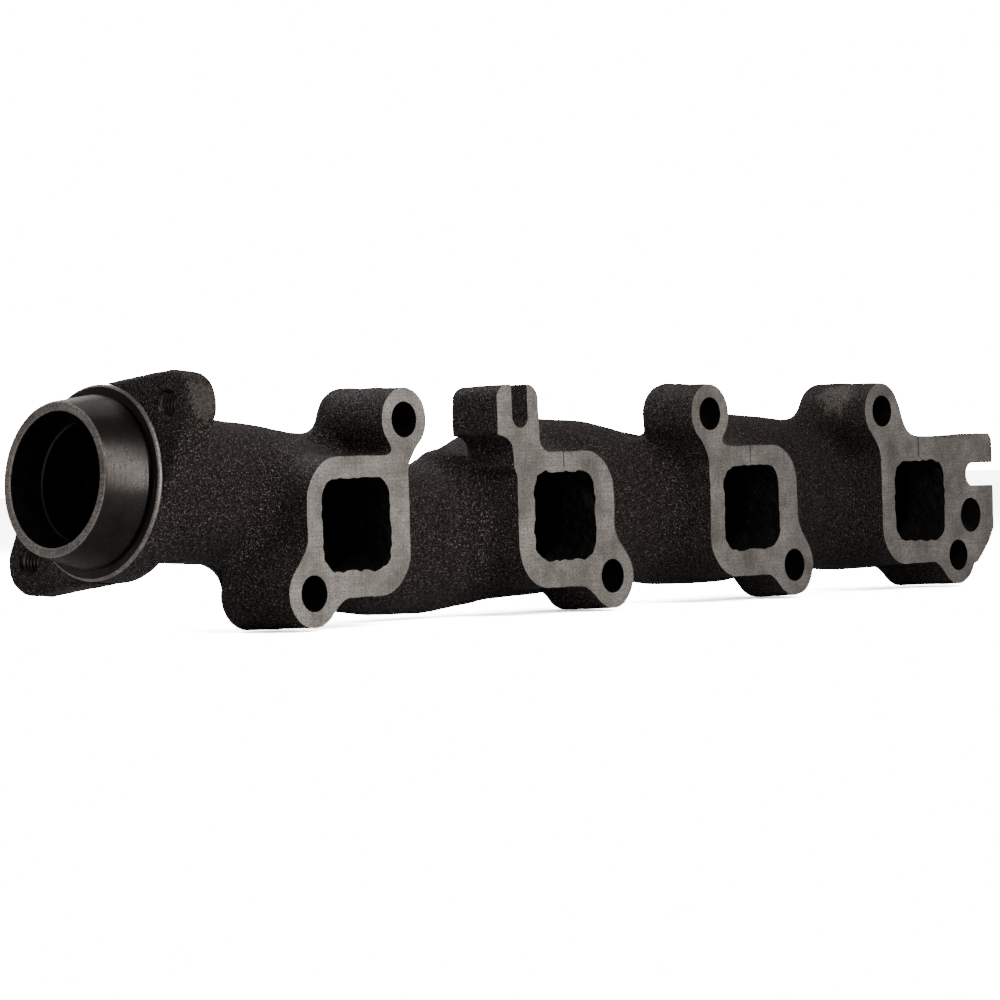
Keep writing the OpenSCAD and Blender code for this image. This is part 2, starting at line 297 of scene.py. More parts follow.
def slotted_boss(pad):
    low, high = box_mm("boss_slotted_2")
    pad_low, pad_high = box_mm("port_flange_2")
    block = box_outline(low[0], high[0] - EDGE_FILLET[1], pad_high[2] - 4, high[2], (5.5, 1, 1, 5.5))
    block = np.maximum(block, -disc(low[0], pad_high[2] - 3.7, pad_low[0] - low[0]))
    flat = fillet(pad, block, EDGE_FILLET[1])
    return rounded_cut(flat, Y - high[1], BOSS_ROUND)


def end_plate_outline():
    low, high = box_mm("end_plate")
    left, right, top = low[0] + 6, high[0], high[2]
    return polygon_outline([
        (left, top - 0.7), (right - 3, top), (right - 0.9, top - 0.9), (right, top - 3),
        (right, -13), (right - 4, -19), (right - 12, -27), (right - 22, -30), (left, -12),
    ])


def slot_box(name, grow):
    """The low and high corners of a stated slot, grown to the slot's real size."""
    holds = {o["name"]: o for o in frame["record"]["physics"]["openings"]}[name]["box_m"]
    low, high = np.array(holds[0]) / MM - grow, np.array(holds[1]) / MM + grow
    return low, high


# ---------- the outlet ----------


def outlet_coordinates(x):
    p = [x - LAND[0], Y - LAND[1], Z - LAND[2]]
    return [sum(a * b for a, b in zip(p, axis)) for axis in (UP, BACK, OUT)]


def ear_centre(name):
    p = mount_mm(name) - LAND
    return float(p @ UP), float(p @ BACK)


def ear_outline(u, v, centre):
    """The ear and the land it grows from: two circles and the tangents between them."""
    reach = math.hypot(*centre)
    cu, cv = centre[0] / reach, centre[1] / reach
    along, across = u * cu + v * cv, np.abs(v * cu - u * cv)
    b = (LAND_R - EAR_R) / reach
    a = math.sqrt(1 - b * b)
    k = along * a - across * b
    straight = across * a + along * b - LAND_R
    out = np.where(k > a * reach, np.hypot(across, along - reach) - EAR_R, straight)
    return np.where(k < 0, np.hypot(along, across) - LAND_R, out)


# ---------- the casting as fields ----------


def outlet_iron(iron, near, u, v, w):
    """Ends the neck in the outlet's flange, with its two ears."""
    ears = [ear_outline(u, v, ear_centre(f"outlet_thread_{side}")) for side in ("upper", "lower")]
    flange = rounded_cut(np.minimum(*ears), np.abs(w + EAR_MID) - EAR_T / 2, EAR_ROUND)
    neck = np.maximum(iron[near], w + EAR_MID)
    iron[near] = fillet(neck, flange, NECK_FILLET)


def gas_passage(log, near, u, v, w):
    """The hollow from the ports through the log to the outlet's throat."""
    ports = []
    for i in PORTS:
        x = i * PITCH
        ports.append(box_outline(x - PORT_HALF[0], x + PORT_HALF[0], -PORT_HALF[1], PORT_HALF[1],
                                 (PORT_CORNER,) * 4))
    way = np.maximum(np.minimum.reduce(ports), Y - LOG_Y)
    passage = fillet(log + WALL, way, 8.0)
    throat = np.maximum(np.hypot(u, v) - THROAT_R, -w - THROAT_LEN)
    passage[near] = fillet(np.maximum(passage[near], w + LOG_PASSAGE_START), throat, 6.0)
    return passage


def cast_slots(swell):
    """The open slots of the second port's boss and of the end plate."""
    low, high = slot_box("bolt_slot", 0.5)
    bolt_slot = box_outline(low[0], high[0], low[2] - 2.4, high[2] + 20, (SLOT_END_R,) * 4) + 0.6 * swell
    bolt_slot = np.maximum(bolt_slot, X - PITCH)
    low, high = slot_box("end_slot", 0.55)
    end_slot = box_outline(low[0] - 1.5, high[0] + 20, low[2], high[2], (END_SLOT_R,) * 4)
    return np.minimum(bolt_slot, np.maximum(end_slot, Y - CUT_DEPTH))


def drilled_holes(near, u, v, w):
    holes = []
    for side, i in [(s, i) for s in ("upper", "lower") for i in PORTS if (s, i) != ("upper", 1)]:
        x, z, depth = bolt(f"bolt_hole_{side}_{i + 1}")
        holes.append(np.maximum(disc(x, z, BOLT_R), Y - depth - BLIND_DEPTH))
    holes = np.minimum.reduce(holes)
    for side in ("upper", "lower"):
        cu, cv = ear_centre(f"outlet_thread_{side}")
        round_hole = np.hypot(u - cu, v - cv) - EAR_HOLE_R - THREAD_DEPTH
        drill = np.maximum(round_hole, -w - 2 * EAR_MID - BLIND_DEPTH)
        holes[near] = np.minimum(holes[near], drill)
    return holes


def make_fields():
    """The casting's field in five parts, one for each kind of surface, and the shapes it is made from."""
    log = log_field()
    pads = [pad_outline(i) for i in PORTS]
    runner = rounded_cut(np.minimum.reduce(pads), Y - LOG_Y, RUNNER_ROUND)
    bosses = {}
    for i in PORTS:
        bosses.update(boss_fields(i, pads[i]))
    bosses["boss_slotted_2"] = slotted_boss(pads[1])
    plate = rounded_cut(end_plate_outline(), Y - PAD_T, PLATE_ROUND)
    iron = fillet(log, np.minimum.reduce([runner, plate, *bosses.values()]), LOG_FILLET)

    near = slice(0, int((OUTLET_END - start[0]) / CELL))
    u, v, w = outlet_coordinates(X[near])
    outlet_iron(iron, near, u, v, w)
    coarse, middling, fine = unevenness(15, SEED), unevenness(6, SEED + 1), unevenness(2.6, SEED + 2)
    swell = 0.30 * coarse + 0.17 * middling + 0.10 * fine
    iron = np.maximum(iron + swell, -cast_slots(swell))

    passage = gas_passage(log, near, u, v, w) + 1.3 * swell + 0.60 * unevenness(2.3, SEED + 3)
    x, _, z = mount_mm("cast_hole")
    cast_hole = disc(x, z, MOUNTS["cast_hole"]["dims"]["r_mm"]) + swell
    passage = np.minimum(passage, np.maximum(cast_hole, Y - CUT_DEPTH - 6))

    seat = np.full(SHAPE, 1e3, np.float32)
    seat[near] = np.maximum(np.hypot(u, v) - LAND_R - 0.02, -w - LAND_STEP - EAR_T)
    milled = np.where(X > HEAD_FACE_START, -Y, -50) + 0 * iron
    holes = drilled_holes(near, u, v, w)
    fields = {"cast": iron, "milled": milled, "drilled": -holes, "seat": -seat, "passage": -passage}
    return {k: f.astype(np.float32) for k, f in fields.items()}, log, pads, bosses, (near, u, v, w)


NODE_NAMES = sorted(frame["nodes"])
LATHED = ("outlet_spigot", "outlet_land")


def make_labels(solid, log, pads, bosses, outlet):
    """The CAD node that each grid point in the iron belongs to, and 0 outside."""
    number = {n: k + 1 for k, n in enumerate(NODE_NAMES)}
    x = X + 0 * log
    labels = np.full(SHAPE, number["outlet_neck"], np.int8)
    for k in (1, 2, 3, 4):
        labels[x > box_mm(f"log_{k}")[0][0]] = number[f"log_{k}"]
    labels[x > LOG_END] = number["log_end_cap"]
    deep = Y + 0 * log
    for i in PORTS:
        pad = pads[i] + 0 * log
        mine = np.abs(x - i * PITCH) < PITCH / 2
        labels[mine & (log > 0) & (pad < np.maximum(log, 0.5)) & (pad < 12)] = number[f"runner_{i + 1}"]
        labels[mine & (pad < 1.0) & (deep < PAD_T)] = number[f"port_flange_{i + 1}"]
        if i == 3:
            labels[(pad > 0) & (deep < PAD_T + 1.5) & (x > i * PITCH)] = number["end_plate"]
        for name in [b for b in bosses if b.endswith(str(i + 1))]:
            outside = pad > 0
            if name != "boss_slotted_2":
                bx, bz, _ = bolt(name.replace("boss", "bolt_hole"))
                outside = outside | (disc(bx, bz, UPPER_R) + 0 * log < 0)
                outside = outside & (disc(bx, bz, 24) + 0 * log < 0)
            labels[mine & outside & (bosses[name] < 1.2) & (log > 0)] = number[name]
    near, u, v, w = outlet
    ear = (np.hypot(u, v) > LAND_R - 0.5) & (w > -LAND_STEP - EAR_T - 0.5)
    part = labels[near]
    part[ear & (u > 0)] = number["outlet_ear_upper"]
    part[ear & (u <= 0)] = number["outlet_ear_lower"]
    labels[~solid] = 0
    return labels


# ---------- from fields to meshes ----------

UNIT = np.eye(3, dtype=int)


def gradient(field, points):
    """The direction in which a field rises at points given in grid steps."""
    base = np.floor(points).astype(int)
    t = (points - base).astype(np.float32)
    out = np.zeros((len(points), 3), np.float32)
    limit = np.array(SHAPE) - 1
    for corner in np.ndindex(2, 2, 2):
        at = np.clip(base + corner, 1, limit - 1)
        weight = np.prod(np.where(corner, t, 1 - t), axis=1)
        for k in range(3):
            ahead, behind = (at + UNIT[k]).T, (at - UNIT[k]).T
            out[:, k] += weight * (field[tuple(ahead)] - field[tuple(behind)])
    return out / np.maximum(np.linalg.norm(out, axis=1, keepdims=True), 1e-9)


def find_crossings(fields, labels):
    """Every grid edge between two labels: its low end, its axis, which field cuts it and where."""
    found = []
    names = list(fields)
    for k in range(3):
        a = tuple(slice(0, n - (j == k)) for j, n in enumerate(SHAPE))
        b = tuple(slice(j == k, n) for j, n in enumerate(SHAPE))
        low = np.argwhere(labels[a] != labels[b])
        high = low + UNIT[k]
        first, second = labels[tuple(low.T)], labels[tuple(high.T)]
        skin = (first == 0) | (second == 0)
        inner = np.where((first != 0)[:, None], low, high)
        outer = np.where((first != 0)[:, None], high, low)
        share = np.ones(len(low))
        which = np.full(len(low), -1)
        for j, name in enumerate(names):
            f_in, f_out = fields[name][tuple(inner.T)], fields[name][tuple(outer.T)]
            t = np.where(f_out > 0, f_in / np.minimum(f_in - f_out, -1e-6), 2)
            nearer = skin & (t < share)
            share[nearer], which[nearer] = t[nearer], j
        point = np.where(skin[:, None], inner + (outer - inner) * share[:, None], (low + high) / 2)
        found.append((low, np.full(len(low), k), first, second, skin, which, point))
    return [np.concatenate(part) for part in zip(*found)]


def place_points(fields, crossings):
    """One point in each grid cell that the surface passes, set on edges and corners where it has them."""
    low, axis, _, _, skin, which, point = crossings
    normal = np.zeros((len(low), 3), np.float32)
    for j, name in enumerate(fields):
        chosen = which == j
        normal[chosen] = gradient(fields[name], point[chosen])
    others = [(1, 2), (2, 0), (0, 1)]
    cells = []
    for a, b in ((0, 0), (1, 0), (1, 1), (0, 1)):
        shift = np.zeros((len(low), 3), int)
        for k in range(3):
            rows = axis == k
            shift[rows, others[k][0]] = a
            shift[rows, others[k][1]] = b
        cells.append(low - shift)
    flat = np.concatenate([np.ravel_multi_index(c.T, SHAPE) for c in cells])
    ids, where = np.unique(flat, return_inverse=True)
    corner = np.array(np.unravel_index(ids, SHAPE)).T
    count = len(ids)
    on_skin = np.tile(skin, 4)
    has_skin = np.bincount(where, on_skin, count) > 0
    used = np.where(has_skin[where], on_skin, True)
    total = np.bincount(where, used, count)

    def gather(values):
        return np.bincount(where, np.tile(values, 4) * used, count)

    middle = np.stack([gather(point[:, k]) for k in range(3)], 1) / total[:, None]
    level = (normal * point).sum(1)
    square = np.zeros((count, 3, 3))
    right = np.zeros((count, 3))
    for i in range(3):
        right[:, i] = gather(normal[:, i] * level)
        for j in range(i, 3):
            square[:, i, j] = square[:, j, i] = gather(normal[:, i] * normal[:, j])
    right -= np.einsum("nij,nj->ni", square, middle)
    square += 0.04 * np.maximum(total, 1)[:, None, None] * np.eye(3)
    found = middle + np.linalg.solve(square, right[:, :, None])[:, :, 0]
    found = np.clip(found, corner, corner + 1)
    quads = where.reshape(4, -1).T
    return found, quads


MATERIAL_OF_FIELD = {"cast": 0, "milled": 1, "drilled": 2, "seat": 0, "passage": 3}


def build_casting(materials):
    fields, log, pads, bosses, outlet = make_fields()
    solid = np.maximum.reduce(list(fields.values())) < 0
    labels = make_labels(solid, log, pads, bosses, outlet)
    crossings = find_crossings(fields, labels)
    points, quads = place_points(fields, crossings)
    _, _, first, second, skin, which, _ = crossings
    names = list(fields)
    made = {}
    for number, node in enumerate(NODE_NAMES, 1):
        if node in LATHED:
            continue
        forward, backward = first == number, second == number
        rows = np.concatenate([np.flatnonzero(forward), np.flatnonzero(backward)])
        faces = np.concatenate([quads[forward], quads[backward][:, ::-1]])
        kind = np.where(skin[rows], which[rows], -1)
        keep = np.unique(faces)
        index = np.zeros(len(points), int)
        index[keep] = np.arange(len(keep))
        faces = index[faces]
        position = points[keep]
        normals = flat_normals(position, faces)
        loops = np.repeat(normals, 4, axis=0)
        for j, name in enumerate(names):
            chosen = np.repeat(kind == j, 4)
            loops[chosen] = gradient(fields[name], position[faces.ravel()[chosen]])
        slots = np.array([MATERIAL_OF_FIELD[n] for n in names] + [0])[kind]
        made[node] = mesh_piece(node, start + position * CELL, faces, loops, slots, materials)
    return made


def flat_normals(position, faces):
    p = position[faces]
    n = np.cross(p[:, 2] - p[:, 0], p[:, 3] - p[:, 1])
    return n / np.maximum(np.linalg.norm(n, axis=1, keepdims=True), 1e-9)


def mesh_piece(name, position, faces, loops, slots, materials):
    """A piece from points in millimetres, four-sided faces and a normal for each face corner."""
    position = np.clip(position, np.array(cad_low) / MM, np.array(cad_high) / MM)
    mesh = bpy.data.meshes.new(name)
    mesh.vertices.add(len(position))
    mesh.vertices.foreach_set("co", (position * MM).astype(np.float32).ravel())
    mesh.loops.add(faces.size)
    mesh.loops.foreach_set("vertex_index", faces.astype(np.int32).ravel())
    mesh.polygons.add(len(faces))
    mesh.polygons.foreach_set("loop_start", np.arange(0, faces.size, 4, dtype=np.int32))
    mesh.polygons.foreach_set("material_index", slots.astype(np.int32))
    mesh.update(calc_edges=True)
    for m in materials:
        mesh.materials.append(m)
    mesh.polygons.foreach_set("use_smooth", np.ones(len(faces), bool))
    if loops is not None:
        mesh.normals_split_custom_set(loops.astype(np.float32))
    piece = bpy.data.objects.new("iron_" + name, mesh)
    bpy.context.scene.collection.objects.link(piece)
    return piece


# ---------- turned and tapped parts ----------


def lathe(name, profile, materials, slot_of_edge, turns=256):
    """A closed ring from a closed profile of (radius, height) points about the outlet's axis."""
    profile = np.array(profile, float)
    angle = np.linspace(0, 2 * math.pi, turns, endpoint=False)
    ring = np.cos(angle)[:, None, None] * UP + np.sin(angle)[:, None, None] * BACK
    position = LAND + profile[None, :, :1] * ring + profile[None, :, 1:] * OUT
    count = len(profile)
    i, j = np.meshgrid(np.arange(turns), np.arange(count), indexing="ij")
    i2, j2 = (i + 1) % turns, (j + 1) % count
    faces = np.stack([i * count + j, i * count + j2, i2 * count + j2, i2 * count + j], -1).reshape(-1, 4)
    slots = np.tile([slot_of_edge[k] for k in range(count)], turns)
    piece = mesh_piece(name, position.reshape(-1, 3), faces, None, slots, materials)
    piece.data.set_sharp_from_angle(angle=math.radians(28))
    return piece


def face_outwards(piece):
    """Turns a closed piece's faces outwards."""
    bm = bmesh.new()
    bm.from_mesh(piece.data)
    bmesh.ops.recalc_face_normals(bm, faces=bm.faces)
    bm.to_mesh(piece.data)
    bm.free()


def build_outlet(materials):
    edge = 0.5
    root = -LAND_STEP - EAR_T
    spigot = [
        (THROAT_R, 0), (SPIGOT_BASE_R - 0.9, 0), (SPIGOT_BASE_R - 0.9, 1.0), (SPIGOT_BASE_R - 0.1, 1.6),
        (SPIGOT_TIP_R + 0.25, SPIGOT_LEN - 1.1), (SPIGOT_TIP_R - 0.1, SPIGOT_LEN - 0.3),
        (SPIGOT_TIP_R - 0.6, SPIGOT_LEN), (MOUTH_R + edge, SPIGOT_LEN), (MOUTH_R, SPIGOT_LEN - edge),
        (MOUTH_R, SPIGOT_LEN - MOUTH_DEPTH), (THROAT_R + edge, SPIGOT_LEN - MOUTH_DEPTH),
        (THROAT_R, SPIGOT_LEN - MOUTH_DEPTH - edge),
    ]
    slots = [1, 0, 0, 0, 0, 1, 1, 1, 2, 2, 0, 2]
    made = {"outlet_spigot": lathe("outlet_spigot", spigot, materials, slots)}
    land = [
        (THROAT_R, root), (LAND_R - 1.0, root), (LAND_R, root + 1.0), (LAND_R, -1.1),
        (LAND_R - 0.3, -0.35), (LAND_R - 1.0, 0), (THROAT_R, 0),
    ]
    made["outlet_land"] = lathe("outlet_land", land, materials, [3, 3, 3, 1, 1, 0, 2])
    for piece in made.values():
        face_outwards(piece)
    return made


def thread_sleeve(name, materials):
    """The tapped wall of an ear hole: a helical thread of M10's pitch, closed behind."""
    pitch, crest, root, outer = 1.5, EAR_HOLE_R, EAR_HOLE_R + THREAD_DEPTH, EAR_HOLE_R + 0.95
    centre = ear_centre(name)
    middle = LAND + centre[0] * UP + centre[1] * BACK
    sides, rows = 48, 14 * 9
    height = np.linspace(-LAND_STEP - EAR_T + 0.4, -LAND_STEP - 0.25, rows)
    angle = np.linspace(0, 2 * math.pi, sides, endpoint=False)
    a, h = np.meshgrid(angle, height, indexing="ij")
    phase = (h / pitch + a / (2 * math.pi)) % 1
    flank = np.clip(1.35 * (1 - np.abs(2 * phase - 1)) - 0.12, 0, 1)
    entry = np.clip((h - height[-1] + 1.1) / 1.1, 0, 1)
    r = np.maximum(crest + (root - crest) * flank, crest + (outer - crest - 0.05) * entry)
    r = np.concatenate([r, np.full((sides, 2), outer)], 1)
    h = np.concatenate([h, np.full((sides, 1), height[-1]), np.full((sides, 1), height[0])], 1)
    ring = np.cos(angle)[:, None, None] * UP + np.sin(angle)[:, None, None] * BACK
    position = middle + r[:, :, None] * ring + h[:, :, None] * OUT
    count = rows + 2
    i, j = np.meshgrid(np.arange(sides), np.arange(count), indexing="ij")
    i2, j2 = (i + 1) % sides, (j + 1) % count
    faces = np.stack([i * count + j, i * count + j2, i2 * count + j2, i2 * count + j], -1).reshape(-1, 4)
    piece = mesh_piece(name, position.reshape(-1, 3), faces, None, np.full(len(faces), 4), materials)
    face_outwards(piece)
    return piece


# ---------- materials ----------


class Nodes:
    """A short way to write a material's node tree."""

    def __init__(self, name):
        self.material = bpy.data.materials.new(name)
        self.material.use_nodes = True
        self.tree = self.material.node_tree
        self.shader = self.tree.nodes["Principled BSDF"]
        self.place = self.add("ShaderNodeTexCoord").outputs["Object"]

    def add(self, kind, **settings):
        node = self.tree.nodes.new(kind)
        for key, value in settings.items():
            setattr(node, key, value)
        return node

    def link(self, source, target):
        self.tree.links.new(source, target)

    def noise(self, scale, detail=2.0, rough=0.5, vector=None):
        node = self.add("ShaderNodeTexNoise")
        node.inputs["Scale"].default_value = scale
        node.inputs["Detail"].default_value = detail
        node.inputs["Roughness"].default_value = rough
        self.link(vector or self.place, node.inputs["Vector"])
        return node.outputs["Fac"]

    def ramp(self, value, low, high, to_low=0.0, to_high=1.0):
        node = self.add("ShaderNodeMapRange")
        node.inputs["From Min"].default_value = low
        node.inputs["From Max"].default_value = high
        node.inputs["To Min"].default_value = to_low
        node.inputs["To Max"].default_value = to_high
        self.link(value, node.inputs["Value"])
        return node.outputs["Result"]

    def math(self, operation, a, b):
        node = self.add("ShaderNodeMath", operation=operation)
        for k, value in enumerate((a, b)):
            if isinstance(value, (int, float)):
                node.inputs[k].default_value = value
            else:
                self.link(value, node.inputs[k])
        return node.outputs["Value"]

    def mix(self, factor, a, b):
        node = self.add("ShaderNodeMix", data_type="RGBA")
        self.link(factor, node.inputs["Factor"])
        for socket, value in ((node.inputs[6], a), (node.inputs[7], b)):
            if isinstance(value, tuple):
                socket.default_value = (*value, 1)
            else:
                self.link(value, socket)
        return node.outputs[2]

    def bump(self, height, distance, strength=1.0, normal=None):
        node = self.add("ShaderNodeBump")
        node.inputs["Strength"].default_value = strength
        node.inputs["Distance"].default_value = distance
        self.link(height, node.inputs["Height"])
        if normal:
            self.link(normal, node.inputs["Normal"])
        return node.outputs["Normal"]

    def near(self, centre, radius):
        """1 at the centre, falling to 0 at the radius, in metres."""
        node = self.add("ShaderNodeVectorMath", operation="DISTANCE")
        node.inputs[1].default_value = centre
        self.link(self.place, node.inputs[0])
        return self.ramp(node.outputs["Value"], 0, radius, 1, 0)

    def stretched(self, matrix_scale, rotation=(0, 0, 0)):
        node = self.add("ShaderNodeMapping")
        node.inputs["Scale"].default_value = matrix_scale
        node.inputs["Rotation"].default_value = rotation
        self.link(self.place, node.inputs["Vector"])
        return node.outputs["Vector"]


# Worn places: where, how far they reach, and the colour that shows
SCUFFS = (
    ((0.303, 0.016, 0.046), 0.020, (0.200, 0.172, 0.150)),
    ((0.312, 0.004, 0.052), 0.012, (0.150, 0.120, 0.100)),
    ((0.199, 0.014, 0.051), 0.013, (0.090, 0.058, 0.043)),
    (tuple((mount_mm("outlet_thread_upper") + (0, -11, 2)) * MM), 0.018, (0.160, 0.138, 0.120)),
    (tuple((mount_mm("outlet_thread_lower") + (0, -17, -3)) * MM), 0.022, (0.150, 0.122, 0.104)),
    ((0.045, 0.010, 0.022), 0.010, (0.110, 0.094, 0.082)),
)


def cast_skin():
    """Sand-cast iron under a thin dark oxide: coarse grain, glinting points and chalky scuffs."""
    n = Nodes("cast_skin")
    patches = n.noise(38, 4, 0.6)
    grain = n.noise(1100, 3, 0.65)
    fine = n.noise(3000, 2, 0.6)
    glint = n.ramp(n.noise(1900, 2, 0.65), 0.585, 0.685)
    base = n.mix(n.ramp(patches, 0.35, 0.65), (0.0052, 0.0038, 0.0032), (0.0165, 0.0124, 0.0104))
    base = n.mix(n.ramp(grain, 0.42, 0.66), base, (0.050, 0.0385, 0.0325))
    split = n.add("ShaderNodeSeparateXYZ")
    n.link(n.place, split.inputs["Vector"])
    # painted highlight: the glints are bright specks painted into the colour, and they fade towards +x as
    # a painted falloff of the light
    painted_glint_fade = n.ramp(split.outputs["X"], 0.09, 0.30, 0.95, 0.50)
    base = n.mix(n.math("MULTIPLY", glint, painted_glint_fade), base, (0.52, 0.445, 0.385))
    mottle = n.noise(170, 5, 0.7)
    for centre, radius, colour in SCUFFS:
        worn = n.ramp(n.math("ADD", mottle, n.near(centre, radius)), 1.00, 1.22, 0, 0.95)
        worn = n.math("MULTIPLY", worn, n.ramp(grain, 0.34, 0.60, 0.15, 1.0))
        base = n.mix(worn, base, colour)
    n.link(base, n.shader.inputs["Base Color"])
    n.link(n.ramp(grain, 0.35, 0.7, 0.74, 0.46), n.shader.inputs["Roughness"])
    n.shader.inputs["Metallic"].default_value = 0.35
    n.shader.inputs["Specular IOR Level"].default_value = 0.35
    height = n.math("ADD", n.math("MULTIPLY", grain, 1.0), n.math("MULTIPLY", fine, 0.45))
    n.link(n.bump(height, 0.0018, 0.95), n.shader.inputs["Normal"])
    return n.material


def hollow_skin():
    """The cast walls inside the gas passages: cast grain, coloured nearly black as painted shade inside
    the passages.
    """
    n = Nodes("hollow_skin")
    grain = n.noise(700, 3, 0.65)
    patches = n.noise(90, 4, 0.6)
    # painted shade: the passage walls are coloured far darker than the outer cast skin, for the shade
    # inside the hollows
    base = n.mix(n.ramp(patches, 0.50, 0.75), (0.0022, 0.0018, 0.0016), (0.012, 0.010, 0.0085))
    base = n.mix(n.ramp(grain, 0.55, 0.75), base, (0.016, 0.013, 0.011))
    n.link(base, n.shader.inputs["Base Color"])
    n.link(n.ramp(grain, 0.35, 0.7, 0.85, 0.65), n.shader.inputs["Roughness"])
    n.shader.inputs["Specular IOR Level"].default_value = 0.2
    n.link(n.bump(grain, 0.0012, 0.8), n.shader.inputs["Normal"])
    return n.material


def milled_face():
    """The face-milled head face: bright iron with cutter lines, pores, stains and ink marks."""
    n = Nodes("milled_face")
    patches = n.noise(60, 5, 0.65)
    fine = n.noise(1300, 3, 0.7)
    lines = n.noise(1, 4, 0.7, n.stretched((60, 40, 1700), (0, 0.12, 0)))
    upright = n.noise(1, 4, 0.7, n.stretched((1500, 40, 90), (0, 0.05, 0)))
    pores = n.ramp(n.noise(800, 2, 0.6), 0.66, 0.72)
    stains = n.noise(140, 5, 0.7)
    base = n.mix(n.ramp(patches, 0.35, 0.65), (0.30, 0.262, 0.231), (0.66, 0.607, 0.553))
    base = n.mix(n.ramp(stains, 0.52, 0.72, 0, 0.6), base, (0.20, 0.168, 0.142))
    base = n.mix(n.ramp(lines, 0.40, 0.70, 0, 0.65), base, (0.24, 0.215, 0.195))
    base = n.mix(n.ramp(upright, 0.50, 0.80, 0, 0.6), base, (0.72, 0.68, 0.64))
    base = n.mix(n.ramp(fine, 0.42, 0.66, 0, 0.8), base, (0.17, 0.150, 0.134))
    base = n.mix(n.math("MULTIPLY", pores, 0.85), base, (0.05, 0.042, 0.038))
    base = n.mix(ink_mark(n, patches), base, (0.030, 0.034, 0.055))
    n.link(base, n.shader.inputs["Base Color"])
    n.link(n.ramp(n.math("ADD", patches, fine), 0.7, 1.3, 0.36, 0.62), n.shader.inputs["Roughness"])
    n.shader.inputs["Metallic"].default_value = 0.75
    height = n.math("ADD", n.math("ADD", lines, upright), n.math("MULTIPLY", fine, 0.7))
    n.link(n.bump(height, 0.00018, 0.8), n.shader.inputs["Normal"])
    return n.material


def ink_mark(n, patches):
    """A thin scribed centre line on the land above each port."""
    split = n.add("ShaderNodeSeparateXYZ")
    n.link(n.place, split.inputs["Vector"])
    ports = n.math("ADD", n.math("DIVIDE", split.outputs["X"], PITCH * MM), 0.5)
    across = n.math("ABSOLUTE", n.math("SUBTRACT", n.math("FRACT", ports, 0.0), 0.5), 0.0)
    wander = n.math("ADD", across, n.math("MULTIPLY", n.math("SUBTRACT", patches, 0.5), 0.006))
    line = n.ramp(n.math("ABSOLUTE", wander, 0.0), 0.0022, 0.0050, 0.8, 0)
    above = n.ramp(split.outputs["Z"], 0.0180, 0.0185)
    return n.math("MULTIPLY", n.math("MULTIPLY", line, above), n.ramp(ports, 0.8, 1.4, 0.25, 1.0))


def bore_wall():
    """Drilled holes and the outlet's bore: dull metal with tool rings, coloured nearly black as painted
    shade inside the holes.
    """
    n = Nodes("bore_wall")
    rings = n.noise(1, 2, 0.5, n.stretched((30, 1500, 30)))
    patches = n.noise(200, 3, 0.6)
    # painted shade: the bore walls are coloured nearly black to stand in for the shade inside them
    base = n.mix(n.ramp(patches, 0.35, 0.65), (0.003, 0.0026, 0.0023), (0.011, 0.0095, 0.0085))
    n.link(base, n.shader.inputs["Base Color"])
    n.link(n.ramp(patches, 0.3, 0.7, 0.45, 0.62), n.shader.inputs["Roughness"])
    n.shader.inputs["Metallic"].default_value = 0.5
    n.shader.inputs["Specular IOR Level"].default_value = 0.3
    n.link(n.bump(rings, 0.0002, 0.5), n.shader.inputs["Normal"])
    return n.material


def thread_wall():
    """Cut threads: brighter crests over dark roots."""
    n = Nodes("thread_wall")
    patches = n.noise(300, 3, 0.6)
    base = n.mix(n.ramp(patches, 0.35, 0.65), (0.040, 0.035, 0.031), (0.12, 0.108, 0.096))
    n.link(base, n.shader.inputs["Base Color"])
    n.link(n.ramp(patches, 0.3, 0.7, 0.28, 0.42), n.shader.inputs["Roughness"])
    n.shader.inputs["Metallic"].default_value = 0.9
    return n.material


def turned_iron():
    """The turned outlet: satin metal with fine grooves around the outlet's axis."""
    n = Nodes("turned_iron")
    along = n.add("ShaderNodeVectorMath", operation="DOT_PRODUCT")
    along.inputs[1].default_value = tuple(OUT)
    n.link(n.place, along.inputs[0])
    combine = n.add("ShaderNodeCombineXYZ")
    n.link(n.math("MULTIPLY", along.outputs["Value"], 2600), combine.inputs["X"])
    rings = n.noise(1, 4, 0.7, combine.outputs["Vector"])
    patches = n.noise(70, 5, 0.65)
    fine = n.noise(1800, 2, 0.5)
    base = n.mix(n.ramp(rings, 0.3, 0.7), (0.040, 0.0352, 0.032), (0.070, 0.0625, 0.057))
    base = n.mix(n.ramp(patches, 0.45, 0.75), base, (0.030, 0.026, 0.023))
    base = n.mix(n.ramp(fine, 0.60, 0.72), base, (0.028, 0.024, 0.022))
    n.link(base, n.shader.inputs["Base Color"])
    n.link(n.ramp(patches, 0.3, 0.7, 0.24, 0.36), n.shader.inputs["Roughness"])
    n.shader.inputs["Metallic"].default_value = 0.95
    n.link(n.bump(rings, 0.00010, 0.8), n.shader.inputs["Normal"])
    return n.material


# ---------- stage, light and camera ----------

BACKDROP = 32.0  # how bright the backdrop shows
AMBIENT = 0.17  # how strongly it lights
FLOOR_ALBEDO = 0.55
FLOOR_SHOWN = 45.0


def seen_by_camera(n):
    return n.nodes.new("ShaderNodeLightPath").outputs["Is Camera Ray"]


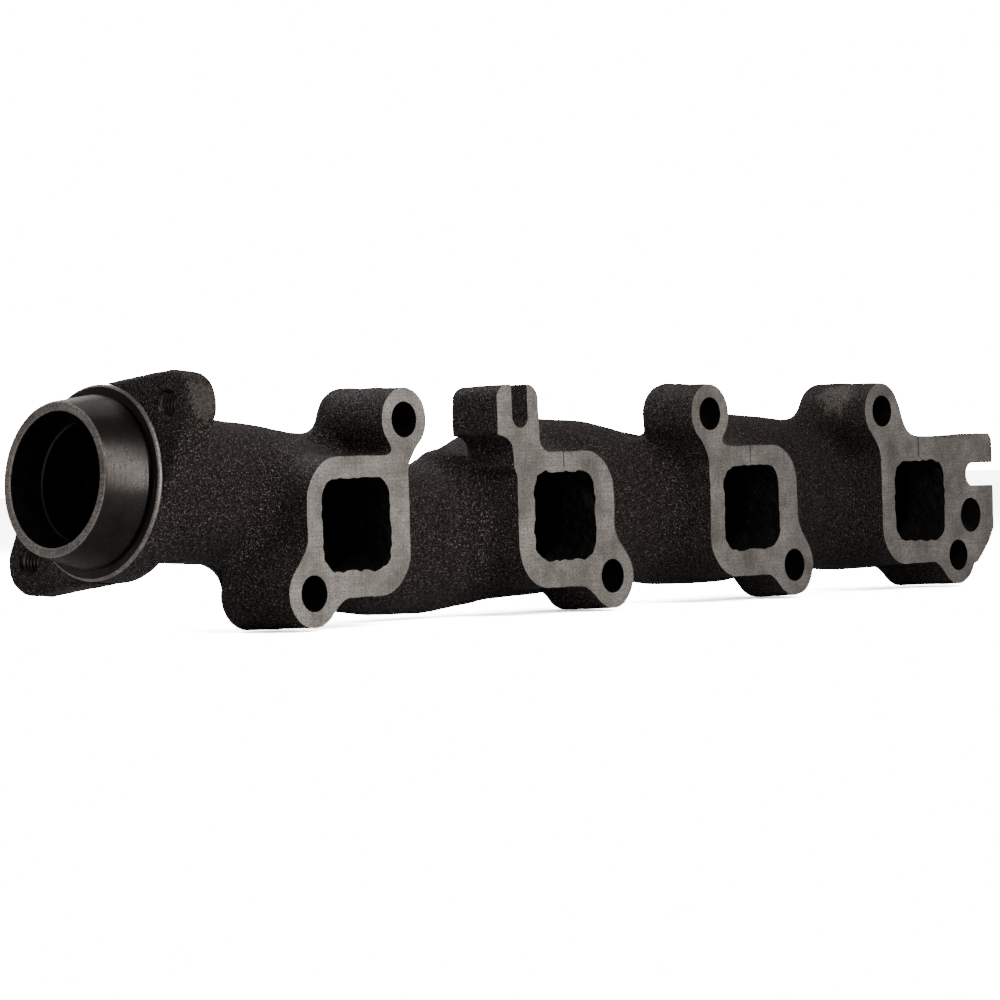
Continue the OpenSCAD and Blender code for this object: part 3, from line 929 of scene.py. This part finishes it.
def make_floor():
    """A seamless white sweep: it shows brighter than it lights, so that it doesn't flood the iron."""
    size = 12.0
    mesh = bpy.data.meshes.new("floor")
    z = cad_low[2] - 0.0005
    corners = [(x * size, y * size, z) for x, y in ((-1, -1), (1, -1), (1, 1), (-1, 1))]
    mesh.from_pydata(corners, [], [(0, 1, 2, 3)])
    floor = bpy.data.objects.new("floor", mesh)
    bpy.context.scene.collection.objects.link(floor)
    material = bpy.data.materials.new("pale_floor")
    material.use_nodes = True
    tree = material.node_tree
    tree.nodes.clear()
    diffuse = tree.nodes.new("ShaderNodeBsdfDiffuse")
    output = tree.nodes.new("ShaderNodeOutputMaterial")
    tint = tree.nodes.new("ShaderNodeMix")
    tint.data_type = "RGBA"
    tint.inputs[6].default_value = (*[FLOOR_ALBEDO] * 3, 1)
    tint.inputs[7].default_value = (*[FLOOR_SHOWN] * 3, 1)
    tree.links.new(seen_by_camera(tree), tint.inputs["Factor"])
    tree.links.new(tint.outputs[2], diffuse.inputs["Color"])
    tree.links.new(diffuse.outputs[0], output.inputs["Surface"])
    mesh.materials.append(material)


def make_world():
    world = bpy.data.worlds.new("studio")
    world.use_nodes = True
    tree = world.node_tree
    background = tree.nodes["Background"]
    background.inputs["Color"].default_value = (1, 1, 1, 1)
    strength = tree.nodes.new("ShaderNodeMapRange")
    strength.inputs["To Min"].default_value = AMBIENT
    strength.inputs["To Max"].default_value = BACKDROP
    tree.links.new(seen_by_camera(tree), strength.inputs["Value"])
    tree.links.new(strength.outputs["Result"], background.inputs["Strength"])
    bpy.context.scene.world = world


def area_light(name, place, target, size, power):
    data = bpy.data.lights.new(name, "AREA")
    data.shape = "RECTANGLE"
    data.size, data.size_y = size
    data.energy = power
    light = bpy.data.objects.new(name, data)
    light.visible_camera = False
    light.location = place
    light.rotation_euler = (Vector(target) - Vector(place)).to_track_quat("-Z", "Y").to_euler()
    bpy.context.scene.collection.objects.link(light)


def make_camera():
    """A long lens level with the outlet, in front of the head face and to its left."""
    data = bpy.data.cameras.new("camera")
    data.sensor_width = 36.0
    data.lens = 144.85
    data.clip_start, data.clip_end = 0.05, 60
    camera = bpy.data.objects.new("camera", data)
    right = Vector((0.67033548, -0.7414632, -0.02970977))
    down = Vector((-0.02539629, 0.01709027, -0.99953137))
    ahead = Vector((0.74162347, 0.67077586, -0.0073742))
    place = -(right * -51.02177 + down * 8.75833 + ahead * 1437.1141) * MM
    camera.matrix_world = Matrix.Translation(place) @ Matrix((right, -down, -ahead)).transposed().to_4x4()
    bpy.context.scene.collection.objects.link(camera)
    bpy.context.scene.camera = camera


def join_into(piece, extra):
    """Adds the mesh of extra to piece, and keeps both meshes' normals."""
    with bpy.context.temp_override(active_object=piece, selected_editable_objects=[piece, extra]):
        bpy.ops.object.join()


def main():
    make_camera()
    make_world()
    make_floor()
    area_light("key", (-0.20, -1.00, 0.75), (0.05, 0, 0), (0.5, 0.4), 6.2)
    area_light("strip", (0.045, -0.60, 0.06), (-0.1, 0, 0), (0.07, 0.5), 2.5)
    area_light("top", (0.15, 0.35, 0.9), (0.15, 0.05, 0), (1.2, 0.6), 1.4)
    area_light("left", (-1.40, -0.30, -0.02), (-0.1, 0, 0), (0.4, 0.4), 2.2)
    area_light("back", (0.30, 1.30, 0.80), (0.15, 0.05, 0), (1.2, 0.7), 7)
    materials = [cast_skin(), milled_face(), bore_wall(), hollow_skin(), thread_wall()]
    turned = [turned_iron(), materials[1], materials[2], materials[0]]
    pieces = build_casting(materials)
    pieces.update(build_outlet(turned))
    for side in ("upper", "lower"):
        join_into(pieces[f"outlet_ear_{side}"], thread_sleeve(f"outlet_thread_{side}", materials))
    for node, piece in pieces.items():
        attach(piece, BODY)
        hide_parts(node)


main()
